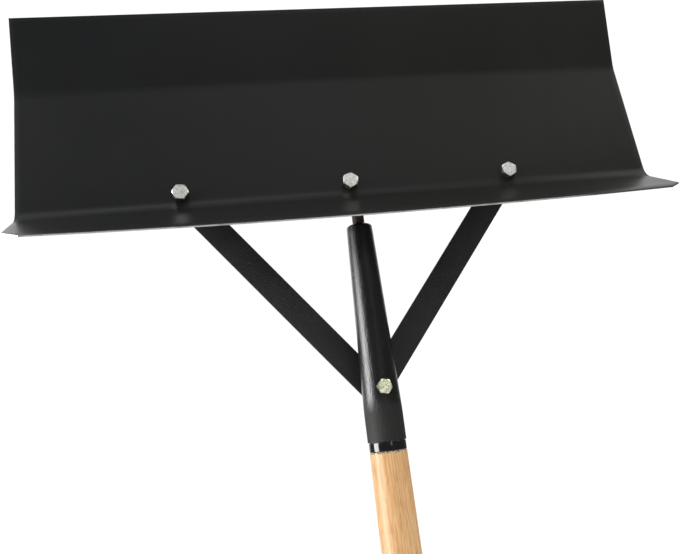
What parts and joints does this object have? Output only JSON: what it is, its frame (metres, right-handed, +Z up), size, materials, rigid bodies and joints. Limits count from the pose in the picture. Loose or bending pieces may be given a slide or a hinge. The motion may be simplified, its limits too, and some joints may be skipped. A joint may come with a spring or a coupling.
{
  "type": "snow shovel",
  "caption": "Wide steel snow shovel: bent hollow blade with a forward lip, bolted to two flat braces, a tapered socket and a long round wooden handle.",
  "frame": {"origin": "on the handle's centre line, level with the underside of the blade's lip, where the prongs of a tool rack carry the shovel", "axes": "+Z up along the handle to the blade's straight edge, -Y out of the blade's hollow face, +X to the right as seen from in front of that face"},
  "size_m": [0.61, 0.0902, 1.3558],
  "materials": {
    "black_sheet": "matte black paint on pressed steel sheet",
    "dark_bar": "dark brown-black forged steel bar",
    "black_powder_coat": "semi-matte black powder coat with a fine texture",
    "gloss_black": "glossy black ring",
    "hardwood": "clear-finished light hardwood with long straight grain",
    "zinc_plate": "bright zinc plated steel"
  },
  "bodies": {
    "root": {"blade": "black_sheet", "shank": "dark_bar", "socket": "black_powder_coat", "socket_collar": "gloss_black", "handle": "hardwood", "brace_left": "black_powder_coat", "brace_right": "black_powder_coat", "blade_bolt_left": "zinc_plate", "blade_bolt_center": "zinc_plate", "blade_bolt_right": "zinc_plate", "blade_washer_left": "zinc_plate", "blade_washer_center": "zinc_plate", "blade_washer_right": "zinc_plate", "blade_nut_left": "zinc_plate", "blade_nut_center": "zinc_plate", "blade_nut_right": "zinc_plate", "socket_bolt": "zinc_plate", "socket_washer": "zinc_plate", "socket_nut": "zinc_plate"}
  },
  "joints": []
}
